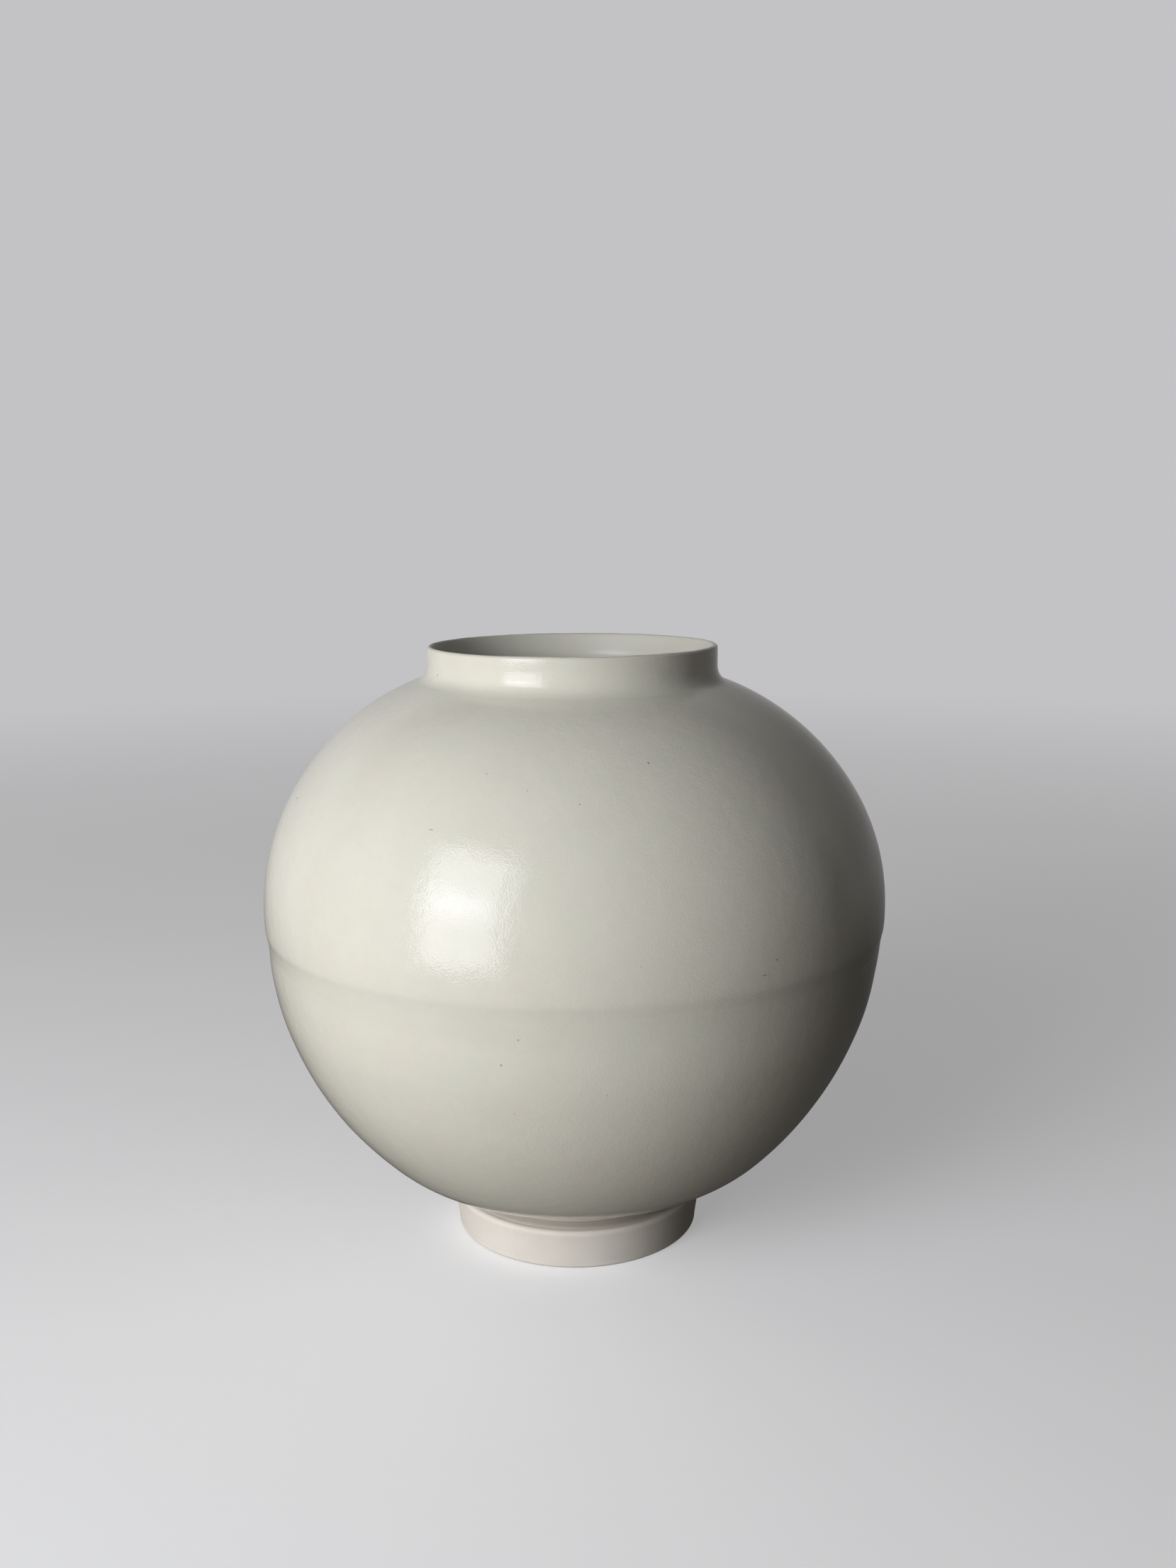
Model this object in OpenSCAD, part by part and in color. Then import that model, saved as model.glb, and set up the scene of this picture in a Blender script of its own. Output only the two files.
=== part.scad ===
// A small Korean moon jar in white porcelain.
// Two thrown bowls are joined rim to rim at the belly. A collar is luted onto the
// shoulder and a ring onto the base, and glaze coats all but the foot.
// Millimetres, +Z up, origin at the centre of the foot's resting face.

/* [Belly] */
// Widest diameter, measured over the glaze
belly_d = 120; // [100:1:160]
// Radius of the upper bowl's curve, seen in section
upper_curve = 42.9; // [34:0.1:52]
// How much more the shoulder's radius is than that, nearer the neck
shoulder_ease = 5.6; // [3:0.1:10]
// Slope of the wall's normal where its curve runs into the shoulder
shoulder_angle = 35; // [25:1:45]
// Radius of the lower bowl's curve, seen in section
lower_curve = 67; // [56:0.5:80]
// How much less the lower bowl's radius is than the upper bowl's
bowl_mismatch = 0.15; // [0:0.05:0.3]
// How far the seam lies below the widest circle
seam_drop = 3.9; // [0:0.1:8]
// Thickness of the fired porcelain wall
wall = 4; // [3:0.1:6]
// Thickness of the glaze
glaze = 0.35; // [0.2:0.05:0.6]

/* [Base] */
// Height of the lower bowl's lowest point above the table
base_h = 11.8; // [10.5:0.1:16]
// Radius of the turn under the lower bowl, seen in section
base_curve = 26; // [18:0.5:36]
// Slope of the wall where its curve runs into that turn
turn_angle = 45; // [35:1:55]
// Radius of the hollow curve between the base and the waist
waist_fillet = 2.5; // [1.5:0.1:4]
// Height at which the glaze stops above the table
glaze_stop_h = 9.4; // [9:0.1:10]

/* [Foot] */
// Outside diameter of the foot at the table
foot_d = 48; // [40:0.1:60]
// How much wider the foot is at its upper edge, on each side
foot_flare = 0.8; // [0:0.1:3]
// Height of the foot's upper edge
foot_h = 7.8; // [5:0.1:8.2]
// Thickness of the foot ring at the table
foot_wall = 3.5; // [2.8:0.1:6]
// Bevel that rounds off the foot's two lower edges
foot_bevel = 0.4; // [0.2:0.1:1]
// How far the waist is cut in above the foot's upper edge
waist_cut = 1; // [0.5:0.1:2]
// Height of the hollow under the base
recess_h = 10; // [9.3:0.1:11.5]

/* [Neck] */
// Outside diameter of the neck over the glaze
neck_d = 55.2; // [40:0.1:70]
// Height of the neck above the line where it meets the shoulder
neck_h = 6.4; // [5:0.1:12]
// Thickness of the neck over the glaze
neck_wall = 2.6; // [2.4:0.1:5]
// Thickness of the lip over the glaze
lip_t = 1.2; // [1.1:0.1:2.2]
// Slope of the bevel inside the lip, from upright
lip_angle = 22; // [15:1:35]
// Radius of the hollow curve between neck and shoulder
neck_fillet = 3.5; // [1.5:0.1:5]
// How deep the shoulder is trimmed flat to seat the collar
seat_cut = 0.55; // [0.3:0.05:1]

/* [Joints] */
// Thickness of the slip between two luted pieces
slip = 0.4; // [0.2:0.05:0.6]
// Height of the foot's slip above the table
foot_joint_h = 8.5; // [8.4:0.05:8.7]
// Height of the ridge on each rim that keys it to its neighbour
key_h = 0.8; // [0.4:0.1:1.2]
// Radius of the bead of slip rolled into the seam inside, over the glaze
bead_r = 1.5; // [1.2:0.1:2]
// How far that bead stands into the hollow
bead_rise = 0.7; // [0.4:0.1:1]

/* [Hidden] */
$fn = 128;

// How far two outlines that run smoothly into each other are lapped
lap = 0.005;

// Radii
belly_r = belly_d / 2;
foot_r = foot_d / 2;
foot_top_r = foot_r + foot_flare;
foot_bore_r = foot_r - foot_wall;
waist_r = foot_top_r - waist_cut;
waist_clay_r = waist_r - glaze;
neck_r = neck_d / 2;
neck_clay_r = neck_r - glaze;
mouth_r = neck_r - neck_wall;

// Heights and the centres of the four curves of the wall
curve_gap = lower_curve - base_curve;
belly_h = base_h + base_curve + curve_gap * cos(turn_angle);
seam_h = belly_h - seam_drop;
upper_c = [belly_r - upper_curve, belly_h];
shoulder_curve = upper_curve + shoulder_ease;
shoulder_c = upper_c - (shoulder_ease + lap) * [cos(shoulder_angle), sin(shoulder_angle)];
lower_c = [belly_r - bowl_mismatch - lower_curve, belly_h];
base_c = lower_c + (curve_gap + lap) * [sin(turn_angle), -cos(turn_angle)];

// Glaze, wall and glaze again
full_wall = wall + 2 * glaze;
mid_wall = full_wall / 2;

// Height of the shoulder at radius r, t below the glaze's face
function shoulder_z(r, t) =
    shoulder_c.y + sqrt(pow(shoulder_curve - t, 2) - pow(max(0, r - shoulder_c.x), 2));

// Radius of the upper bowl's wall at height z, t below the glaze's face
function upper_r(z, t) =
    upper_c.x + sqrt(pow(upper_curve - t, 2) - pow(z - belly_h, 2));

// The lip, a round edge whose outer side is flush with the neck
lip_h = shoulder_z(neck_r, 0) + neck_h;
lip_c = [neck_r - lip_t / 2, lip_h - lip_t / 2];

// Centre of the hollow curve at the neck, which touches neck and shoulder
neck_f_r = neck_r + neck_fillet - lap;
neck_f = [neck_f_r, shoulder_z(neck_f_r, lap - neck_fillet)];

// Centre of the hollow curve at the waist, which touches waist and base
waist_f_r = waist_r + waist_fillet - lap;
waist_f_run = max(0, waist_f_r - base_c.x);
waist_f_reach = base_curve + waist_fillet - lap;
waist_f = [waist_f_r, base_c.y - sqrt(pow(waist_f_reach, 2) - pow(waist_f_run, 2))];

// Seats of the three luted joints
neck_joint_h = shoulder_z(neck_clay_r, glaze) - seat_cut;
neck_key_r = (neck_clay_r + mouth_r + glaze) / 2;
foot_key_r = (waist_clay_r + foot_bore_r) / 2;
neck_key_w = (neck_clay_r - mouth_r - glaze) / 4;
foot_key_w = (waist_clay_r - foot_bore_r) / 4;

// Centre of the bead, and the key that fills the rim between bead and outside
bead_c = [upper_r(seam_h, full_wall) - bead_rise + bead_r, seam_h];
bead_out_r = bead_c.x + bead_r - glaze;
belly_key_r = (upper_r(seam_h, glaze) + bead_out_r) / 2;
belly_key_w = (upper_r(seam_h, glaze) - bead_out_r) / 4;

// How far beyond the jar the cutting shapes reach
beyond = 5;
out_r = belly_r + beyond;

// Colours
bisque = [0.90, 0.88, 0.86];
slip_white = [0.95, 0.94, 0.92];
glaze_white = [0.85, 0.85, 0.80];
inside_white = [0.80, 0.80, 0.75];

// A slice of a disc about c, from angle a0 to a1, less than half a turn
module slice(c, r, a0, a1) {
    reach = 2 * r;
    translate(c)
        intersection() {
            circle(r = r);
            polygon([
                [0, 0],
                reach * [cos(a0), sin(a0)],
                reach * [cos((a0 + a1) / 2), sin((a0 + a1) / 2)],
                reach * [cos(a1), sin(a1)]
            ]);
        }
}

// A block from the axis out to radius r, between heights z0 and z1
module block(r, z0, z1) {
    translate([0, z0])
        square([r, z1 - z0]);
}

// Filled outline of the lower bowl, t below the glaze's face
module lower_fill(t) {
    intersection() {
        block(out_r, 0, seam_h);
        union() {
            slice(lower_c, lower_curve - t, turn_angle - 90, 45);
            slice(base_c, base_curve - t, -100, turn_angle - 70);
            block(max(lap, base_c.x), base_c.y - base_curve + t + lap, seam_h);
        }
    }
}

// Filled outline of the upper bowl, t below the glaze's face
module upper_fill(t) {
    low_top = belly_h + upper_curve - t;
    top = shoulder_c.y + shoulder_curve - t;
    intersection() {
        block(out_r, seam_h, top);
        union() {
            slice(upper_c, upper_curve - t, -45, shoulder_angle + 20);
            slice(shoulder_c, shoulder_curve - t, shoulder_angle, 100);
            block(max(lap, upper_c.x), seam_h, low_top - lap);
            block(max(lap, shoulder_c.x), seam_h, top - lap);
        }
    }
}

// Point where the lip's inner bevel leaves the lip's round, t below the glaze
function bevel_top(t) =
    lip_c + (lip_t / 2 - t) * [-cos(lip_angle), sin(lip_angle)];

// Height at which that bevel runs into the bore of the neck
function bevel_low(t) =
    bevel_top(t).y - (bevel_top(t).x - mouth_r - t) / tan(lip_angle);

// Filled outline of the neck and lip
module neck_fill(t) {
    polygon([
        [0, belly_h],
        [neck_r - t, belly_h],
        [neck_r - t, lip_c.y],
        lip_c,
        bevel_top(t),
        [mouth_r + t, bevel_low(t)],
        [0, bevel_low(t)]
    ]);
    translate(lip_c)
        circle(r = lip_t / 2 - t);
}

// Wedge with a hollow face about f, between radius r_in and the curve about c
module fillet_fill(f, r_f, c, r_c, r_in, t) {
    c_near = [min(c.x, f.x), c.y];
    inside = f + (c_near - f) * (r_f + mid_wall) / (r_f + r_c);
    low = f.y < inside.y ? f : inside;
    high = f.y < inside.y ? inside : f;
    difference() {
        polygon([[r_in, low.y], low, high, [r_in, high.y]]);
        translate(f)
            circle(r = r_f + t);
    }
}

// Whole outer outline of the jar above the foot ring, filled to the axis
module outline(t) {
    lower_fill(t);
    upper_fill(t);
    neck_fill(t);
    fillet_fill(neck_f, neck_fillet, shoulder_c, shoulder_curve, lip_c.x, t);
    fillet_fill(waist_f, waist_fillet, base_c, base_curve, foot_key_r, t);
    block(waist_r - t, foot_joint_h - slip / 2, base_h + wall);
}

// The hollow inside, without the bead, and the bore of the neck
module hollow(t) {
    lower_fill(full_wall - t);
    upper_fill(full_wall - t);
    block(mouth_r + t, belly_h, lip_h + beyond);
}

// The bead of slip round the seam
module bead(t) {
    translate(bead_c)
        circle(r = bead_r - t);
}

// The hollow under the base, with its corner sloped
module recess() {
    slope = min(1.5, recess_h - foot_joint_h);
    polygon([
        [0, -1],
        [foot_bore_r, -1],
        [foot_bore_r, recess_h - slope],
        [foot_bore_r - slope, recess_h],
        [0, recess_h]
    ]);
}

// Section of the whole jar above the foot ring, t below the glaze's face
module jar_section(t) {
    difference() {
        outline(t);
        difference() {
            hollow(t);
            bead(t);
        }
    }
}

// Fired clay and slip, all that the glaze covers
module clay() {
    difference() {
        jar_section(glaze);
        recess();
    }
}

// Everything below a joint, whose key rises by k at radius r
module below(z, r, w, k) {
    polygon([
        [0, -1],
        [out_r, -1],
        [out_r, z],
        [r + w, z],
        [r, z + k],
        [r - w, z],
        [0, z]
    ]);
}

module below_foot_joint(side) {
    below(foot_joint_h + side * slip / 2, foot_key_r, foot_key_w, key_h);
}

module below_belly_joint(side) {
    below(seam_h + side * slip / 2, belly_key_r, belly_key_w, -key_h);
}

module below_neck_joint(side) {
    below(neck_joint_h + side * slip / 2, neck_key_r, neck_key_w, -key_h);
}

// The space that the upper bowl and its key lie in
module bowl_space() {
    upper_fill(glaze);
    block(belly_r, seam_h - key_h, seam_h);
}

// The collar's own space, above its slip and inside the neck's outer face
module collar_space() {
    difference() {
        block(neck_clay_r, neck_joint_h - key_h, lip_h + beyond);
        below_neck_joint(1);
    }
}

// Both glazes at once, one coat that runs over the lip
module glaze_coat() {
    difference() {
        jar_section(0);
        jar_section(glaze);
    }
}

// The half of the wall that faces the hollow, up to the crest of the lip
module inner_half() {
    lower_fill(mid_wall);
    upper_fill(mid_wall);
    block(lip_c.x, belly_h, lip_h + beyond);
}

// Bare ring that the jar stands on, wider at its upper edge than at the table
module foot_ring() {
    top = foot_joint_h - slip / 2;
    color(bisque)
        rotate_extrude()
            polygon([
                [foot_bore_r + foot_bevel, 0],
                [foot_r - foot_bevel, 0],
                [foot_r, foot_bevel],
                [foot_top_r, foot_h],
                [waist_clay_r, top],
                [foot_key_r + foot_key_w, top],
                [foot_key_r, top + key_h],
                [foot_key_r - foot_key_w, top],
                [foot_bore_r, top],
                [foot_bore_r, foot_bevel]
            ]);
}

// Slip that beds the foot ring under the base
module foot_slip() {
    color(slip_white)
        rotate_extrude()
            intersection() {
                clay();
                difference() {
                    below_foot_joint(1);
                    below_foot_joint(-1);
                }
            }
}

// Lower thrown bowl, trimmed underneath to a waist that takes the foot ring
module lower_bowl() {
    color(bisque)
        rotate_extrude()
            difference() {
                intersection() {
                    clay();
                    below_belly_joint(-1);
                }
                below_foot_joint(1);
                bead(glaze);
            }
}

// Slip between the two rims, and the bead of it rolled into the seam inside
module belly_slip() {
    color(slip_white)
        rotate_extrude() {
            intersection() {
                clay();
                difference() {
                    below_belly_joint(1);
                    below_belly_joint(-1);
                }
            }
            bead(glaze);
        }
}

// Upper thrown bowl, turned over, with its shoulder trimmed flat round the mouth
module upper_bowl() {
    color(bisque)
        rotate_extrude()
            difference() {
                intersection() {
                    clay();
                    bowl_space();
                    below_neck_joint(-1);
                }
                below_belly_joint(1);
                bead(glaze);
            }
}

// Slip under the collar and the hollow curve that it is smoothed into outside
module neck_slip() {
    color(slip_white)
        rotate_extrude()
            difference() {
                clay();
                below_neck_joint(-1);
                collar_space();
            }
}

// Short upright collar with a thin lip
module neck_collar() {
    color(bisque)
        rotate_extrude()
            intersection() {
                clay();
                collar_space();
            }
}

// Glaze on the inside, from the crest of the lip to the floor
module inner_glaze() {
    color(inside_white)
        rotate_extrude()
            intersection() {
                glaze_coat();
                inner_half();
            }
}

// Glaze on the outside, from the crest of the lip down to the waist
module outer_glaze() {
    color(glaze_white)
        rotate_extrude()
            difference() {
                glaze_coat();
                inner_half();
                block(out_r, 0, glaze_stop_h);
            }
}

foot_ring();
foot_slip();
lower_bowl();
belly_slip();
upper_bowl();
neck_slip();
neck_collar();
inner_glaze();
outer_glaze();
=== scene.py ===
import math

import bmesh
import bpy
from mathutils import Matrix, Vector, noise


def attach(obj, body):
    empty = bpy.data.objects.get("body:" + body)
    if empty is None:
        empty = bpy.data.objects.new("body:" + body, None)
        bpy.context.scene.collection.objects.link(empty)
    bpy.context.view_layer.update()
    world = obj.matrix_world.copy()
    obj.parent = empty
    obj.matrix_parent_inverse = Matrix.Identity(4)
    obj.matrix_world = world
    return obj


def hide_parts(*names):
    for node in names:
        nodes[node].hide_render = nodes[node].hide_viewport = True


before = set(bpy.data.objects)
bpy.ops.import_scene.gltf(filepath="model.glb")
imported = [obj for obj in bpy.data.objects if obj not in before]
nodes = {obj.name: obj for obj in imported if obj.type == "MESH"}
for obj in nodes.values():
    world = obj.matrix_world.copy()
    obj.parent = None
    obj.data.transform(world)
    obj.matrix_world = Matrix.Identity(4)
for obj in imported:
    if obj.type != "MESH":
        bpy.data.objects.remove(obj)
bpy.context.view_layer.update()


# Foot ring. A turned ring of white porcelain that the jar stands on, left bare
# of glaze. It widens towards its upper edge, and its edges are worn round.
foot_bore = 0.0205
foot_outer = 0.0239
foot_top = 0.0248
foot_edge = 0.0078
foot_seat = 0.0083
waist_clay = 0.02345
worn = 0.0005
upper_round = 0.0009
turned_lines = 0.00003
turned_wobble = 0.00006


def pen(bm, x, z):
    """Sets down the first point of an outline, in the plane of X and Z."""
    return bm.verts.new((x, 0, z))


def straight(bm, point, x, z, steps=1):
    """Carries the outline on in a straight line, and returns its last point."""
    step = (Vector((x, 0, z)) - point.co) / steps
    for _ in range(steps):
        drawn = bmesh.ops.extrude_vert_indiv(bm, verts=[point])["verts"][0]
        bmesh.ops.translate(bm, verts=[drawn], vec=step)
        point = drawn
    return point


def curve(bm, point, centre, degrees, steps):
    """Carries the outline on round a centre, clockwise where degrees is above 0."""
    drawn = bmesh.ops.spin(
        bm,
        geom=[point],
        cent=(centre[0], 0, centre[1]),
        axis=(0, 1, 0),
        angle=math.radians(degrees),
        steps=steps,
    )
    return [v for v in drawn["geom_last"] if isinstance(v, bmesh.types.BMVert)][0]


def throw(bm, first, last, turns=256):
    """Closes the outline and turns it round the jar's axis, like clay on the wheel."""
    bm.edges.new((last, first))
    bmesh.ops.spin(
        bm,
        geom=bm.verts[:] + bm.edges[:],
        cent=(0, 0, 0),
        axis=(0, 0, 1),
        angle=math.tau,
        steps=turns,
        use_merge=True,
    )
    bmesh.ops.remove_doubles(bm, verts=bm.verts[:], dist=0.000002)
    bmesh.ops.recalc_face_normals(bm, faces=bm.faces[:])


def fired(bm, name):
    """Makes the thrown shape a smooth object that rides on the jar."""
    mesh = bpy.data.meshes.new(name)
    bm.to_mesh(mesh)
    bm.free()
    mesh.shade_smooth()
    mesh.set_sharp_from_angle(angle=math.radians(35))
    piece = bpy.data.objects.new(name, mesh)
    bpy.context.scene.collection.objects.link(piece)
    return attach(piece, "root")


def ease(low, high, at):
    """Rises smoothly from 0 at one height to 1 at the other."""
    t = min(1, max(0, (at - low) / (high - low)))
    return t * t * (3 - 2 * t)


bm = bmesh.new()
first = pen(bm, foot_bore, worn)
edge = curve(bm, first, (foot_bore + worn, worn), -90, 6)
edge = straight(bm, edge, foot_outer - worn, 0, 4)
edge = curve(bm, edge, (foot_outer - worn, worn), -80, 8)
edge = straight(bm, edge, foot_top, foot_edge - upper_round, 14)
edge = curve(bm, edge, (foot_top - upper_round, foot_edge - upper_round), -86, 8)
edge = straight(bm, edge, waist_clay + 0.0002, foot_edge + 0.00005, 3)
edge = straight(bm, edge, waist_clay, foot_seat, 3)
edge = straight(bm, edge, foot_bore, foot_seat, 6)
edge = straight(bm, edge, foot_bore, worn + 0.0004, 10)
throw(bm, first, edge)
for v in bm.verts:
    out = Vector((v.co.x, v.co.y, 0)).normalized()
    if worn < v.co.z < foot_edge - worn:
        v.co += out * turned_lines * (noise.noise(Vector((0, 0, v.co.z * 1300))) - 0.6)
        v.co += out * turned_wobble * (noise.noise(v.co * 90) - 0.6)
foot = fired(bm, "foot")
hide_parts("foot_ring")


def add(tree, kind, **settings):
    """Places a node and sets its options, or its inputs, by name."""
    node = tree.nodes.new(kind)
    for name, value in settings.items():
        if hasattr(node, name):
            setattr(node, name, value)
        else:
            node.inputs[name.replace("_", " ").title()].default_value = value
    return node


def ramp(tree, value, low, high, start=0.0, end=1.0):
    """Maps a value from low to high, smoothly, onto start to end."""
    made = add(tree, "ShaderNodeMapRange", interpolation_type="SMOOTHSTEP")
    for name, number in (("From Min", low), ("From Max", high), ("To Min", start), ("To Max", end)):
        made.inputs[name].default_value = number
    tree.links.new(value, made.inputs["Value"])
    return made.outputs["Result"]


def reckon(tree, kind, first, second):
    """Adds, multiplies or compares two values, or a value and a number."""
    made = add(tree, "ShaderNodeMath", operation=kind)
    tree.links.new(first, made.inputs[0])
    if isinstance(second, (int, float)):
        made.inputs[1].default_value = second
    else:
        tree.links.new(second, made.inputs[1])
    return made.outputs[0]


def wash(tree, before, colour, amount):
    """Lays one colour over another by a mask's amount, and returns the mixture."""
    laid = add(tree, "ShaderNodeMix", data_type="RGBA")
    laid.inputs[7].default_value = (*colour, 1)
    tree.links.new(amount, laid.inputs[0])
    if isinstance(before, tuple):
        laid.inputs[6].default_value = (*before, 1)
    else:
        tree.links.new(before, laid.inputs[6])
    return laid.outputs[2]


def group(name, inputs, outputs):
    """Starts a node group with number sockets, and returns it with its two ends."""
    made = bpy.data.node_groups.new(name, "ShaderNodeTree")
    for entry, value in inputs.items():
        socket = made.interface.new_socket(entry, in_out="INPUT", socket_type="NodeSocketFloat")
        socket.default_value = value
    for entry in outputs:
        made.interface.new_socket(entry, in_out="OUTPUT", socket_type="NodeSocketFloat")
    return made, made.nodes.new("NodeGroupInput"), made.nodes.new("NodeGroupOutput")


turning, g_in, g_out = group(
    "turning_lines", {"Lines": 1500.0, "Grain": 4000.0}, ["Height", "Shade"]
)
place = add(turning, "ShaderNodeTexCoord")
apart = add(turning, "ShaderNodeSeparateXYZ")
flat = add(turning, "ShaderNodeVectorMath", operation="MULTIPLY")
flat.inputs[1].default_value = (1, 1, 0)
radius = add(turning, "ShaderNodeVectorMath", operation="LENGTH")
rings = add(turning, "ShaderNodeCombineXYZ")
lines = add(turning, "ShaderNodeTexNoise", detail=3.0, roughness=0.6)
grain = add(turning, "ShaderNodeTexNoise", detail=2.0, roughness=0.5)
turning.links.new(place.outputs["Object"], apart.inputs[0])
turning.links.new(place.outputs["Object"], flat.inputs[0])
turning.links.new(flat.outputs[0], radius.inputs[0])
turning.links.new(radius.outputs["Value"], rings.inputs["X"])
turning.links.new(apart.outputs["Z"], rings.inputs["Z"])
turning.links.new(rings.outputs[0], lines.inputs["Vector"])
turning.links.new(g_in.outputs["Lines"], lines.inputs["Scale"])
turning.links.new(place.outputs["Object"], grain.inputs["Vector"])
turning.links.new(g_in.outputs["Grain"], grain.inputs["Scale"])
faint = reckon(turning, "MULTIPLY", lines.outputs["Fac"], 0.6)
both = reckon(turning, "ADD", faint, grain.outputs["Fac"])
turning.links.new(both, g_out.inputs["Height"])
turning.links.new(lines.outputs["Fac"], g_out.inputs["Shade"])


# Height and colour of the painted shade in the groove at the waist, under the belly.
waist_shade_level = 0.0088
painted_waist_shade = (0.34, 0.31, 0.265)


def clay_material(name, pale, dark, roughness, depth):
    """Unglazed porcelain: matt, with turning lines, soft stains and painted shade at the waist."""
    made = bpy.data.materials.new(name)
    made.use_nodes = True
    tree = made.node_tree
    shader = tree.nodes["Principled BSDF"]
    where = add(tree, "ShaderNodeTexCoord")
    lines = add(tree, "ShaderNodeGroup", node_tree=turning)
    stain = add(tree, "ShaderNodeTexNoise", scale=160.0, detail=4.0, roughness=0.6)
    tree.links.new(where.outputs["Object"], stain.inputs["Vector"])
    shade = reckon(tree, "MULTIPLY", lines.outputs["Shade"], 0.4)
    shade = reckon(tree, "ADD", shade, stain.outputs["Fac"])
    colour = wash(tree, dark, pale, ramp(tree, shade, 0.45, 0.95))
    height = add(tree, "ShaderNodeSeparateXYZ")
    tree.links.new(where.outputs["Object"], height.inputs[0])
    # Painted shade: the bare band at the waist, under the belly's overhang, is darkened in the
    # colour itself.
    level = reckon(tree, "SUBTRACT", height.outputs["Z"], waist_shade_level)
    level = reckon(tree, "ABSOLUTE", level, 0)
    colour = wash(tree, colour, painted_waist_shade, ramp(tree, level, 0.00125, 0.0007, 0.0, 0.8))
    rough = ramp(tree, stain.outputs["Fac"], 0.2, 0.8, roughness - 0.06, roughness + 0.06)
    bump = add(tree, "ShaderNodeBump", strength=1.0, distance=depth)
    tree.links.new(colour, shader.inputs["Base Color"])
    tree.links.new(rough, shader.inputs["Roughness"])
    tree.links.new(lines.outputs["Height"], bump.inputs["Height"])
    tree.links.new(bump.outputs["Normal"], shader.inputs["Normal"])
    return made


bare = clay_material("bare_porcelain", (0.94, 0.89, 0.83), (0.89, 0.84, 0.78), 0.62, 0.00002)
foot.data.materials.append(bare)


# Slip under the foot ring, in the belly joint and under the collar. Thin layers
# of the same porcelain, stirred to a cream, that dry and fire into both pieces.
slip = clay_material("fired_slip", (0.86, 0.82, 0.765), (0.80, 0.76, 0.705), 0.7, 0.00001)
for name in ("foot_slip", "belly_slip", "neck_slip"):
    nodes[name].data.materials.clear()
    nodes[name].data.materials.append(slip)


# The two thrown bowls and the collar. White porcelain under the glaze; only the
# lower bowl shows, in the narrow bare band at the waist and in the hollow foot.
for name in ("lower_bowl", "upper_bowl", "neck_collar"):
    nodes[name].data.materials.clear()
    nodes[name].data.materials.append(bare)


# Glaze outside, from the crest of the lip to the waist. One glossy coat that rounds
# the seam and the neck's corner, and ends above the foot in a soft edge.
coat = 0.00035
waist_glaze = waist_clay + coat
glaze_stop = 0.0094
waist_centre = (0.0263, 0.00965)
base_centre = (0.02184, 0.0378)
lower_centre = (-0.00715, 0.06679)
upper_centre = (0.0171, 0.06679)
shoulder_centre = (0.01251, 0.06358)
neck_centre = (0.0311, 0.11214)
lip_centre = (0.0270, 0.11547)
lower_curve, upper_curve, lip_round = 0.0670, 0.0429, 0.0006
neck_outer = 0.0276
seam = 0.06289
shoulder_at, base_at, fine_from, seam_soft = 35, 45, 8, 0.6
waist_at = math.degrees(
    math.atan2(base_centre[1] - waist_centre[1], waist_centre[0] - base_centre[0])
)
neck_at = math.degrees(
    math.atan2(neck_centre[1] - shoulder_centre[1], neck_centre[0] - shoulder_centre[0])
)
lower_dip = math.degrees(math.asin((lower_centre[1] - seam) / lower_curve))
upper_dip = math.degrees(math.asin((upper_centre[1] - seam) / upper_curve))
edge_round = 0.00012

bm = bmesh.new()
first = pen(bm, waist_clay, glaze_stop)
edge = straight(bm, first, waist_glaze - edge_round, glaze_stop, 2)
edge = straight(bm, edge, waist_glaze, glaze_stop + edge_round, 2)
edge = straight(bm, edge, waist_glaze, waist_centre[1], 1)
edge = curve(bm, edge, waist_centre, waist_at, 12)
edge = curve(bm, edge, base_centre, base_at - waist_at, 24)
edge = curve(bm, edge, lower_centre, fine_from - base_at, 56)
edge = curve(bm, edge, lower_centre, lower_dip + seam_soft - fine_from, 18)
start = math.radians(upper_dip - seam_soft)
start_x = upper_centre[0] + upper_curve * math.cos(start)
start_z = upper_centre[1] - upper_curve * math.sin(start)
edge = straight(bm, edge, start_x, start_z, 4)
edge = curve(bm, edge, upper_centre, seam_soft - upper_dip - shoulder_at, 50)
edge = curve(bm, edge, shoulder_centre, shoulder_at - neck_at, 34)
edge = curve(bm, edge, neck_centre, neck_at, 14)
edge = straight(bm, edge, neck_outer, lip_centre[1], 8)
edge = curve(bm, edge, lip_centre, -90, 8)
# Back down the side that lies on the clay, in coarser steps.
edge = straight(bm, edge, lip_centre[0], edge.co.z - coat, 1)
edge = curve(bm, edge, lip_centre, 90, 3)
edge = straight(bm, edge, neck_outer - coat, neck_centre[1], 2)
edge = curve(bm, edge, neck_centre, -neck_at, 5)
edge = curve(bm, edge, shoulder_centre, neck_at - shoulder_at, 12)
edge = curve(bm, edge, upper_centre, shoulder_at + upper_dip, 16)
edge = curve(bm, edge, lower_centre, base_at - lower_dip, 20)
edge = curve(bm, edge, base_centre, waist_at - base_at, 8)
edge = curve(bm, edge, waist_centre, -waist_at, 4)
throw(bm, first, edge)


def reach(levels, z):
    """Fades in over the first two of four levels, holds, and fades out over the last two."""
    start, full, fading, end = levels
    return ease(start, full, z) * ease(end, fading, z)


lip_wave, lip_nick = 0.00008, 0.00004
lip_flare, collar_swell = 0.00026, 0.00015
leaning = -0.00015
belly_reach = (0.0300, 0.0550, 0.0800, 0.0980)


def lip_sag(co):
    """How far the lip's crest lies under its highest level, round its uneven rim."""
    out = Vector((co.x, co.y, 0)).normalized()
    wave = lip_wave * (noise.noise(out * 2.2) - 0.7)
    nick = lip_nick * (noise.noise(out * 9) - 0.7)
    return (wave + nick) * ease(0.1135, 0.1153, co.z)


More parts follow.
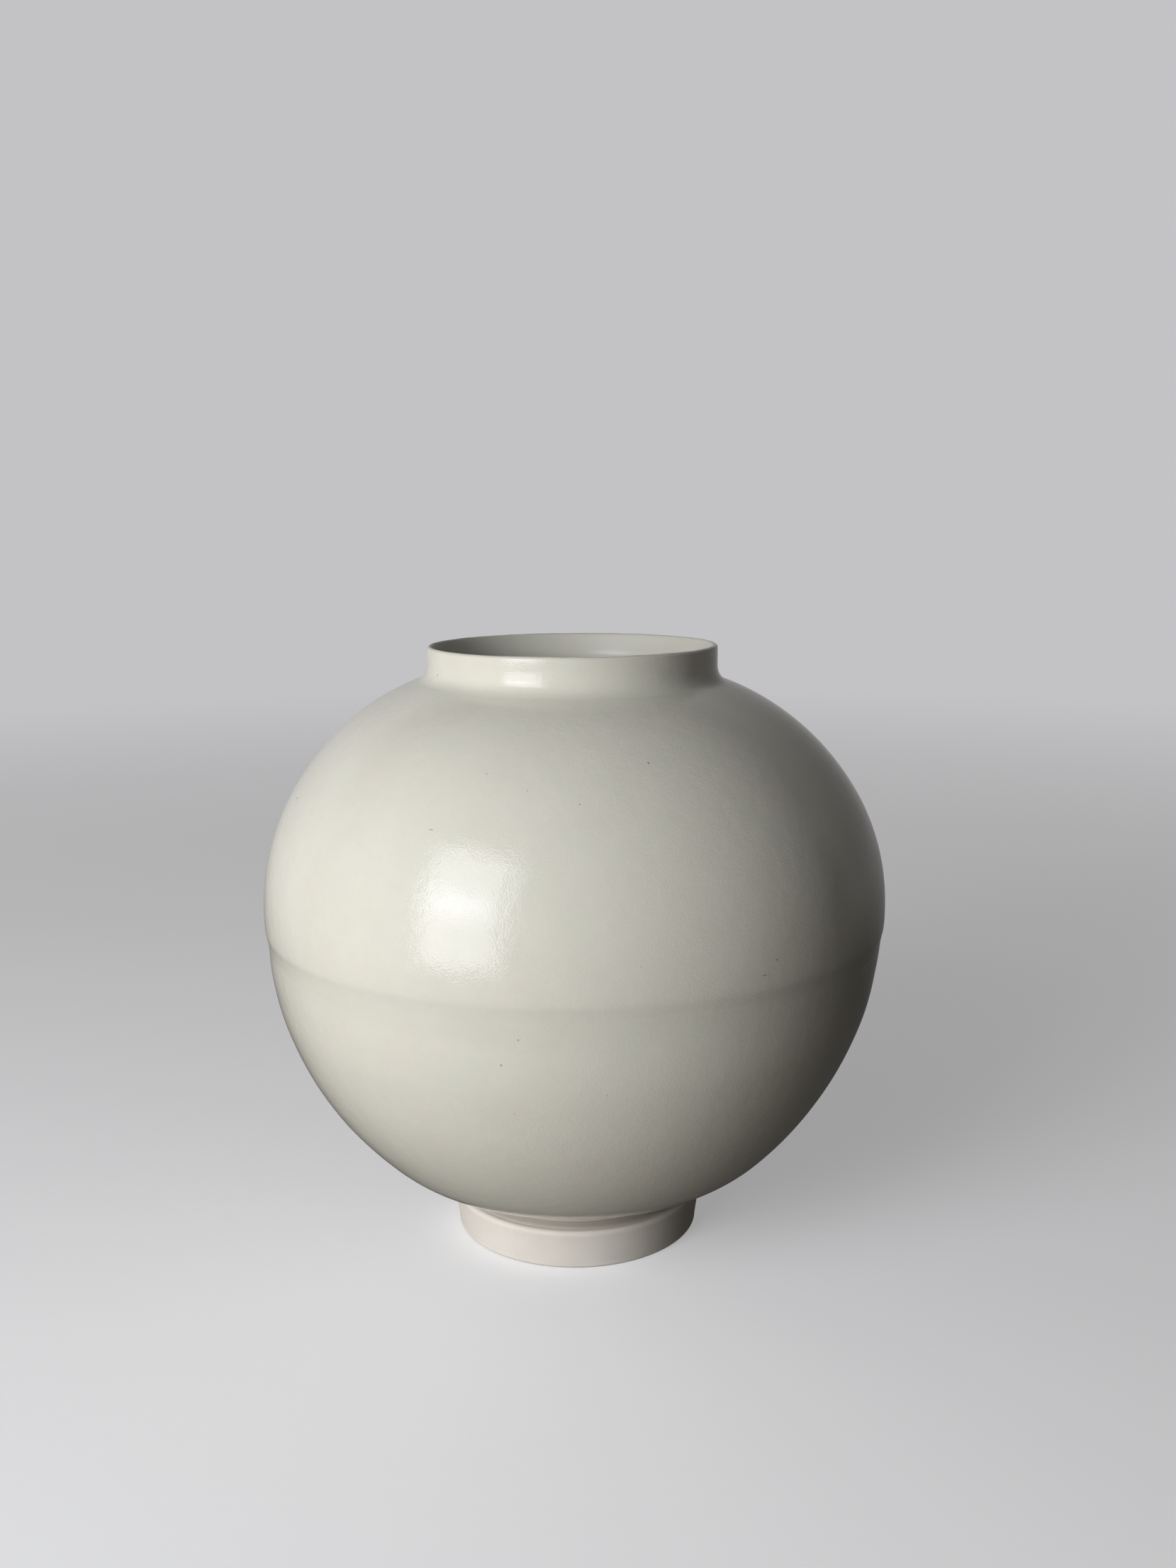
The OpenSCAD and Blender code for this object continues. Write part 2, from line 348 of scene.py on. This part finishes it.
def spread(out, z):
    """How far the collar stands out: a little on all sides, and at the lip in front."""
    front = max(0, out.dot(Vector((-0.33, -0.94, 0)))) ** 2
    lean = max(0, z - 0.1129)
    flare = lip_flare * front * min(lean / 0.0006, 1) * min(lean / 0.0025, 1)
    return collar_swell * (1 - front) * ease(0.1090, 0.1115, z) + flare


def sideways(z):
    """The belly stands a little to one side of the foot and the collar."""
    return leaning * (1 - reach(belly_reach, z))


# Each unevenness has its depth and the four levels of its reach. The dip under the seam
# stays less deep than the coat, so that no clay shows through it.
seam_dip, dip_reach = 0.00028, (0.0470, 0.0580, 0.0596, 0.0640)
fullness, full_reach = 0.0004, (0.0180, 0.0300, 0.0550, 0.0620)
shoulder_lift, lift_reach = 0.0006, (0.0920, 0.1040, 0.1085, 0.1125)
ring_depth, unevenness = 0.00004, 0.00005
deepest = 0.00029
uneven_reach = (0.0095, 0.0130, 0.1090, 0.1120)

for v in bm.verts:
    z = v.co.z
    out = Vector((v.co.x, v.co.y, 0)).normalized()
    left = max(0, -out.x)
    rings = ring_depth * (noise.noise(Vector((0.3, 0, z * 130))) - 0.6)
    uneven = unevenness * (noise.noise(v.co * 22) - 0.6)
    fuller = fullness * left * left * reach(full_reach, z)
    raised = shoulder_lift * left * left * reach(lift_reach, z)
    over_clay = max(-deepest, rings + uneven + fuller - seam_dip * reach(dip_reach, z))
    v.co += out * over_clay * reach(uneven_reach, z)
    v.co += out * spread(out, z)
    v.co.x += sideways(z)
    v.co.z += lip_sag(v.co) + raised
outside = fired(bm, "glaze_outside")
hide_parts("outer_glaze")


ripple, g_in, g_out = group("glaze_ripple", {"Fine": 3400.0, "Broad": 420.0}, ["Height"])
place = add(ripple, "ShaderNodeTexCoord")
fine = add(ripple, "ShaderNodeTexNoise", detail=1.0, roughness=0.5)
broad = add(ripple, "ShaderNodeTexNoise", detail=1.0, roughness=0.5)
ripple.links.new(place.outputs["Object"], fine.inputs["Vector"])
ripple.links.new(place.outputs["Object"], broad.inputs["Vector"])
ripple.links.new(g_in.outputs["Fine"], fine.inputs["Scale"])
ripple.links.new(g_in.outputs["Broad"], broad.inputs["Scale"])
swell = reckon(ripple, "MULTIPLY", broad.outputs["Fac"], 1.5)
both = reckon(ripple, "ADD", swell, fine.outputs["Fac"])
ripple.links.new(both, g_out.inputs["Height"])

mottle, g_in, g_out = group("glaze_mottle", {"Patches": 150.0}, ["Green", "Pink", "Cloud"])
place = add(mottle, "ShaderNodeTexCoord")
tones = (("Green", 0, 0.45, 0.75), ("Pink", 3.1, 0.5, 0.8), ("Cloud", 7.7, 0.2, 0.8))
for name, shift, low, high in tones:
    moved = add(mottle, "ShaderNodeVectorMath", operation="ADD")
    moved.inputs[1].default_value = (shift, shift, shift)
    cloud = add(mottle, "ShaderNodeTexNoise", detail=5.0, roughness=0.7)
    mottle.links.new(place.outputs["Object"], moved.inputs[0])
    mottle.links.new(moved.outputs[0], cloud.inputs["Vector"])
    mottle.links.new(g_in.outputs["Patches"], cloud.inputs["Scale"])
    mottle.links.new(ramp(mottle, cloud.outputs["Fac"], low, high), g_out.inputs[name])

speck, g_in, g_out = group(
    "one_speck", {"Turn": 0.0, "Height": 0.0, "Size": 0.0002, "Wide": 1.0}, ["Speck"]
)
place = add(speck, "ShaderNodeTexCoord")
unturned = add(speck, "ShaderNodeVectorRotate", rotation_type="Z_AXIS")
apart = add(speck, "ShaderNodeSeparateXYZ")
speck.links.new(place.outputs["Object"], unturned.inputs["Vector"])
back_turn = reckon(speck, "MULTIPLY", g_in.outputs["Turn"], -math.pi / 180)
speck.links.new(back_turn, unturned.inputs["Angle"])
speck.links.new(unturned.outputs[0], apart.inputs[0])
aside = reckon(speck, "DIVIDE", apart.outputs["Y"], g_in.outputs["Wide"])
rise = reckon(speck, "SUBTRACT", apart.outputs["Z"], g_in.outputs["Height"])
aside = reckon(speck, "MULTIPLY", aside, aside)
rise = reckon(speck, "MULTIPLY", rise, rise)
off = reckon(speck, "SQRT", reckon(speck, "ADD", aside, rise), 0)
near = reckon(speck, "DIVIDE", off, g_in.outputs["Size"])
facing = reckon(speck, "GREATER_THAN", apart.outputs["X"], 0.0)
shown = reckon(speck, "MULTIPLY", ramp(speck, near, 1.3, 0.6), facing)
speck.links.new(shown, g_out.inputs["Speck"])

iron, g_in, g_out = group("iron_specks", {"Specks": 60.0}, ["Speck"])
place = add(iron, "ShaderNodeTexCoord")
cells = add(iron, "ShaderNodeTexVoronoi")
few = add(iron, "ShaderNodeSeparateColor")
iron.links.new(place.outputs["Object"], cells.inputs["Vector"])
iron.links.new(g_in.outputs["Specks"], cells.inputs["Scale"])
iron.links.new(cells.outputs["Color"], few.inputs[0])
strewn = reckon(
    iron,
    "MULTIPLY",
    ramp(iron, cells.outputs["Distance"], 0.014, 0.006),
    reckon(iron, "GREATER_THAN", few.outputs[0], 0.9),
)

# Each speck's turn round the jar in degrees, its height, its radius and its width in radii.
seen_specks = [
    (-74, 0.0999, 0.00018, 1),
    (-108, 0.0985, 0.00010, 1),
    (-99, 0.0963, 0.00010, 1),
    (-89, 0.0944, 0.00012, 1),
    (-99, 0.0578, 0.00016, 1),
    (-102, 0.0531, 0.00018, 1),
    (-56.5, 0.0682, 0.00018, 1),
    (-80, 0.0700, 0.00010, 1),
    (-100.5, 0.0439, 0.00010, 1),
    (-85, 0.0478, 0.00010, 1),
    (-153, 0.1115, 0.00018, 1),
    (-116, 0.0900, 0.00007, 7),
    (-161.5, 0.0896, 0.00010, 6),
    (-59, 0.0660, 0.00012, 4),
]
for turn, height, size, wide in seen_specks:
    one = add(iron, "ShaderNodeGroup", node_tree=speck)
    one.inputs["Turn"].default_value = turn
    one.inputs["Height"].default_value = height
    one.inputs["Size"].default_value = size
    one.inputs["Wide"].default_value = wide
    strewn = reckon(iron, "MAXIMUM", strewn, one.outputs["Speck"])
iron.links.new(strewn, g_out.inputs["Speck"])


iron_brown = (0.10, 0.07, 0.05)


def glaze_material(name, body, pooled, bands, roughness, depth):
    """Clear glaze on white porcelain: creamy, greener where it has run thick."""
    made = bpy.data.materials.new(name)
    made.use_nodes = True
    tree = made.node_tree
    shader = tree.nodes["Principled BSDF"]
    where = add(tree, "ShaderNodeTexCoord")
    height = add(tree, "ShaderNodeSeparateXYZ")
    tree.links.new(where.outputs["Object"], height.inputs[0])
    clouds = add(tree, "ShaderNodeGroup", node_tree=mottle)
    specks = add(tree, "ShaderNodeGroup", node_tree=iron)
    waves = add(tree, "ShaderNodeGroup", node_tree=ripple)
    red, green, blue = body
    dull = (red * 0.975, green * 0.975, blue * 0.975)
    colour = wash(tree, dull, (red * 1.02, green * 1.02, blue * 1.02), clouds.outputs["Cloud"])
    greener = reckon(tree, "MULTIPLY", clouds.outputs["Green"], 0.7)
    colour = wash(tree, colour, (red * 0.955, green, blue * 0.985), greener)
    pinker = reckon(tree, "MULTIPLY", clouds.outputs["Pink"], 0.65)
    colour = wash(tree, colour, (red * 1.01, green * 0.965, blue * 0.965), pinker)
    for level, band, share in bands:
        gap = reckon(tree, "SUBTRACT", height.outputs["Z"], level)
        gap = reckon(tree, "ABSOLUTE", gap, 0)
        colour = wash(tree, colour, pooled, ramp(tree, gap, band, 0.0, 0.0, share))
    dark = reckon(tree, "MULTIPLY", specks.outputs["Speck"], 0.55)
    colour = wash(tree, colour, iron_brown, dark)
    bump = add(tree, "ShaderNodeBump", strength=1.0, distance=depth)
    tree.links.new(waves.outputs["Height"], bump.inputs["Height"])
    rough = ramp(tree, clouds.outputs["Cloud"], 0.0, 1.0, roughness - 0.02, roughness + 0.03)
    tree.links.new(colour, shader.inputs["Base Color"])
    tree.links.new(rough, shader.inputs["Roughness"])
    tree.links.new(bump.outputs["Normal"], shader.inputs["Normal"])
    return made


outside.data.materials.append(
    glaze_material(
        "outside_glaze",
        (0.79, 0.768, 0.688),
        (0.62, 0.635, 0.54),
        [(0.0598, 0.0050, 0.20), (0.1095, 0.0022, 0.10), (0.0097, 0.0012, 0.3)],
        0.06,
        0.00003,
    )
)


# Glaze inside the jar, from the crest of the lip to the floor. The same coat over
# the clay, with the throwing rings of the clay showing through.
neck_bore = 0.0250
bevel_top = (0.02644, 0.11569)
bore_top = 0.11212
bore_low = 0.10556
inner_floor = 0.0165
inner_shoulder = 0.0438
bevel_at = 68
upper_fine, upper_past = 3, 1
lower_fine, lower_from = 1.9, 3.7
inner_step = (0.00013, 0.0002)
bead_rise, bead_half = 0.0007, 0.0013
skin_within = 0.0552
thrown_pitch, thrown_depth = 0.0062, 0.0001
thrown_reach = (0.0200, 0.0300, 0.0850, 0.1040)
inner_at = math.degrees(math.acos((neck_bore - shoulder_centre[0]) / inner_shoulder))

bm = bmesh.new()
first = pen(bm, lip_centre[0], lip_centre[1] + lip_round)
edge = curve(bm, first, lip_centre, -bevel_at, 8)
edge = straight(bm, edge, *bevel_top, 1)
edge = straight(bm, edge, neck_bore, bore_top, 6)
edge = straight(bm, edge, neck_bore, bore_low, 10)
edge = curve(bm, edge, shoulder_centre, inner_at - shoulder_at, 24)
edge = curve(bm, edge, upper_centre, shoulder_at + upper_fine, 30)
edge = curve(bm, edge, upper_centre, upper_dip + upper_past - upper_fine, 8)
edge = straight(bm, edge, edge.co.x - inner_step[0], edge.co.z - inner_step[1], 1)
edge = curve(bm, edge, lower_centre, lower_fine, 8)
edge = curve(bm, edge, lower_centre, base_at - lower_from - lower_fine, 44)
edge = curve(bm, edge, base_centre, base_at, 18)
edge = straight(bm, edge, 0, inner_floor, 14)
# Back up the side that lies on the clay, in coarser steps.
edge = straight(bm, edge, 0, inner_floor - coat, 1)
edge = straight(bm, edge, base_centre[0], inner_floor - coat, 2)
edge = curve(bm, edge, base_centre, -base_at, 6)
edge = curve(bm, edge, lower_centre, -42, 12)
edge = curve(bm, edge, upper_centre, -shoulder_at - 5, 10)
edge = curve(bm, edge, shoulder_centre, shoulder_at - inner_at + 1, 8)
edge = straight(bm, edge, neck_bore + coat, bore_low + coat, 1)
edge = straight(bm, edge, neck_bore + coat, bore_top, 2)
edge = straight(bm, edge, bevel_top[0] + coat, bevel_top[1] - coat, 1)
edge = straight(bm, edge, lip_centre[0], lip_centre[1] + lip_round - coat, 1)
throw(bm, first, edge)
for v in bm.verts:
    z = v.co.z
    out = Vector((v.co.x, v.co.y, 0))
    across = out.length
    if across > 0.001:
        out.normalize()
        turn = math.atan2(v.co.y, v.co.x) / math.tau
        ridge = math.sin(math.tau * (z / thrown_pitch - turn))
        v.co += out * thrown_depth * ridge * reach(thrown_reach, z)
        bead = (z - seam) / bead_half
        if abs(bead) < 1 and across < skin_within:
            v.co -= out * bead_rise * (1 - bead * bead) ** 0.5
        v.co += out * spread(out, z)
        v.co.x += sideways(z)
        v.co.z += lip_sag(v.co)
inside = fired(bm, "glaze_inside")
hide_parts("inner_glaze")
inside.data.materials.append(
    glaze_material(
        "inside_glaze",
        (0.78, 0.76, 0.685),
        (0.62, 0.64, 0.55),
        [(inner_floor, 0.004, 0.5)],
        0.34,
        0.00002,
    )
)


# Pale table. A wide flat sheet that takes the jar's shadow near the foot and runs
# into the background further off. The lamp passes it, so it can reach below it.
pale = (0.545, 0.545, 0.56)
near_jar, far_off = 0.2, 1.0
bm = bmesh.new()
bmesh.ops.create_circle(bm, cap_ends=True, segments=96, radius=4.0)
mesh = bpy.data.meshes.new("table_top")
bm.to_mesh(mesh)
bm.free()
floor = bpy.data.objects.new("table_top", mesh)
bpy.context.scene.collection.objects.link(floor)
floor.visible_diffuse = False
floor.visible_glossy = False
floor.visible_shadow = False
made = bpy.data.materials.new("pale_table")
made.use_nodes = True
tree = made.node_tree
tree.nodes.remove(tree.nodes["Principled BSDF"])
where = add(tree, "ShaderNodeTexCoord")
far = add(tree, "ShaderNodeVectorMath", operation="LENGTH")
tree.links.new(where.outputs["Object"], far.inputs[0])
glow = add(tree, "ShaderNodeEmission")
glow.inputs["Color"].default_value = (*pale, 1)
glowing = ramp(tree, far.outputs["Value"], near_jar, far_off, 0.58, 1.0)
tree.links.new(glowing, glow.inputs["Strength"])
matt = add(tree, "ShaderNodeBsdfDiffuse")
shade = ramp(tree, far.outputs["Value"], near_jar, far_off)
tree.links.new(wash(tree, (0.72, 0.72, 0.735), (0.0, 0.0, 0.0), shade), matt.inputs["Color"])
total = add(tree, "ShaderNodeAddShader")
clear = add(tree, "ShaderNodeBsdfTransparent")
sided = add(tree, "ShaderNodeMixShader")
back = add(tree, "ShaderNodeNewGeometry")
tree.links.new(matt.outputs[0], total.inputs[0])
tree.links.new(glow.outputs[0], total.inputs[1])
tree.links.new(back.outputs["Backfacing"], sided.inputs[0])
tree.links.new(total.outputs[0], sided.inputs[1])
tree.links.new(clear.outputs[0], sided.inputs[2])
tree.links.new(sided.outputs[0], tree.nodes["Material Output"].inputs["Surface"])
floor.data.materials.append(made)


# Surroundings. Plain and pale behind the jar. The glaze mirrors a pale screen that
# stands behind it and a dim remainder, and a little warm light fills in.
screen_top, screen_side = 0.88, 2.4
world = bpy.data.worlds.new("surroundings")
bpy.context.scene.world = world
world.use_nodes = True
tree = world.node_tree
backdrop = tree.nodes["Background"]
backdrop.inputs["Color"].default_value = (*pale, 1)
where = add(tree, "ShaderNodeTexCoord")
side = add(tree, "ShaderNodeSeparateXYZ")
tree.links.new(where.outputs["Generated"], side.inputs[0])
deep = side.outputs["Y"]
top = reckon(tree, "MULTIPLY", deep, screen_top)
under_top = reckon(tree, "SUBTRACT", top, side.outputs["Z"])
limit = reckon(tree, "MULTIPLY", deep, screen_side)
within = reckon(tree, "SUBTRACT", limit, reckon(tree, "ABSOLUTE", side.outputs["X"], 0))
screen = ramp(tree, under_top, -0.05, 0.05)
screen = reckon(tree, "MULTIPLY", screen, ramp(tree, within, -0.1, 0.1))
screen = reckon(tree, "MULTIPLY", screen, ramp(tree, side.outputs["X"], -0.4, 0.6, 0.5, 0.22))
screen = reckon(tree, "MULTIPLY", screen, ramp(tree, side.outputs["Z"], -0.4, -0.05))
mirrored = add(tree, "ShaderNodeBackground")
mirrored.inputs["Color"].default_value = (1.0, 0.99, 0.98, 1)
tree.links.new(reckon(tree, "ADD", screen, 0.05), mirrored.inputs["Strength"])
fill = add(tree, "ShaderNodeBackground")
fill.inputs["Color"].default_value = (1.0, 0.92, 0.82, 1)
filling = ramp(tree, side.outputs["Z"], -0.4, 0.5, 0.0, 0.03)
for towards, most in (((-0.88, -0.42, -0.2), 0.31), ((0.94, 0.32, 0.15), 0.03)):
    facing = add(tree, "ShaderNodeVectorMath", operation="DOT_PRODUCT")
    facing.inputs[1].default_value = towards
    tree.links.new(where.outputs["Generated"], facing.inputs[0])
    more = ramp(tree, facing.outputs["Value"], 0.0, 1.0, 0.0, most)
    filling = reckon(tree, "ADD", filling, more)
tree.links.new(filling, fill.inputs["Strength"])
ray = add(tree, "ShaderNodeLightPath")
lit = add(tree, "ShaderNodeMixShader")
seen = add(tree, "ShaderNodeMixShader")
tree.links.new(ray.outputs["Is Glossy Ray"], lit.inputs[0])
tree.links.new(fill.outputs[0], lit.inputs[1])
tree.links.new(mirrored.outputs[0], lit.inputs[2])
tree.links.new(ray.outputs["Is Camera Ray"], seen.inputs[0])
tree.links.new(lit.outputs[0], seen.inputs[1])
tree.links.new(backdrop.outputs[0], seen.inputs[2])
tree.links.new(seen.outputs[0], tree.nodes["World Output"].inputs["Surface"])


# Window light from the front left, large and low, so that it grades softly round the
# belly. The glaze mirrors its cool panes, brighter towards the middle, and its foot,
# while a warmer haze close in front of them only lights the clay and glaze.
window_away, window_side, window_level = 0.51, math.radians(-38.3), 0.192
jar_middle = Vector((0, 0, 0.066))
window_seat = Vector(
    (window_away * math.sin(window_side), -window_away * math.cos(window_side), window_level)
)
window_turn = (jar_middle - window_seat).to_track_quat("-Z", "Y")
window_low, window_mid, window_high, window_wide = -0.24, -0.16, 0.245, 0.275
daylight, daylight_tint = 4.3, (0.92, 0.96, 1.0)
haze, haze_tint = 3.2, (1.0, 0.94, 0.86)
bright, bright_tint = 1.1, (0.8, 0.9, 1.0)
bright_level, bright_aside = 0.02, -0.02


def pane(name, low, high, wide, radiance, tint, aside=0.0, ahead=0.0):
    """Part of the window between two levels, shining evenly, in or just ahead of it."""
    lamp = bpy.data.lights.new(name, "AREA")
    lamp.shape = "RECTANGLE"
    lamp.size, lamp.size_y = wide, high - low
    lamp.energy = radiance * math.pi * wide * (high - low)
    lamp.color = tint
    hung = bpy.data.objects.new(name, lamp)
    hung.rotation_mode = "QUATERNION"
    hung.rotation_quaternion = window_turn
    hung.location = window_seat + window_turn @ Vector((aside, (low + high) / 2, -ahead))
    bpy.context.scene.collection.objects.link(hung)
    hung.visible_camera = False
    return hung


pane("window_pane", window_mid, window_high, window_wide, daylight, daylight_tint)
foot_pane = pane("window_foot", window_low, window_mid, window_wide, daylight, daylight_tint)
foot_pane.visible_diffuse = False
haze_pane = pane("window_haze", -0.15, 0.09, window_wide, haze, haze_tint, ahead=0.002)
haze_pane.visible_glossy = False
for step in range(4):
    half = 0.055 - 0.012 * step
    low, high, wide = bright_level - half, bright_level + half, 0.21 - 0.035 * step
    ahead = 0.004 + 0.002 * step
    pane(f"bright_pane_{step}", low, high, wide, bright, bright_tint, bright_aside, ahead)


# Camera where the photograph was taken from, close to the jar and a little above it.
seat = Vector((0, -0.2848, 0.13995))
pitch, yaw, roll = 0.17784, 0.0095, -0.00629
ahead = Vector((math.sin(yaw), math.cos(yaw), 0)) * math.cos(pitch)
ahead.z = -math.sin(pitch)
level = Vector((math.cos(yaw), -math.sin(yaw), 0))
upward = level.cross(ahead)
across = math.cos(roll) * level + math.sin(roll) * upward
upright = math.cos(roll) * upward - math.sin(roll) * level
lens = bpy.data.cameras.new("camera")
sensor, focal_dots, frame_dots = 36, 2100, 2212
lens.lens = focal_dots / frame_dots * sensor
lens.sensor_width = sensor
lens.clip_start = 0.01
camera = bpy.data.objects.new("camera", lens)
turned = Matrix((across, upright, -ahead)).transposed().to_4x4()
camera.matrix_world = Matrix.Translation(seat) @ turned
bpy.context.scene.collection.objects.link(camera)
bpy.context.scene.camera = camera
bpy.context.scene.view_settings.view_transform = "Standard"
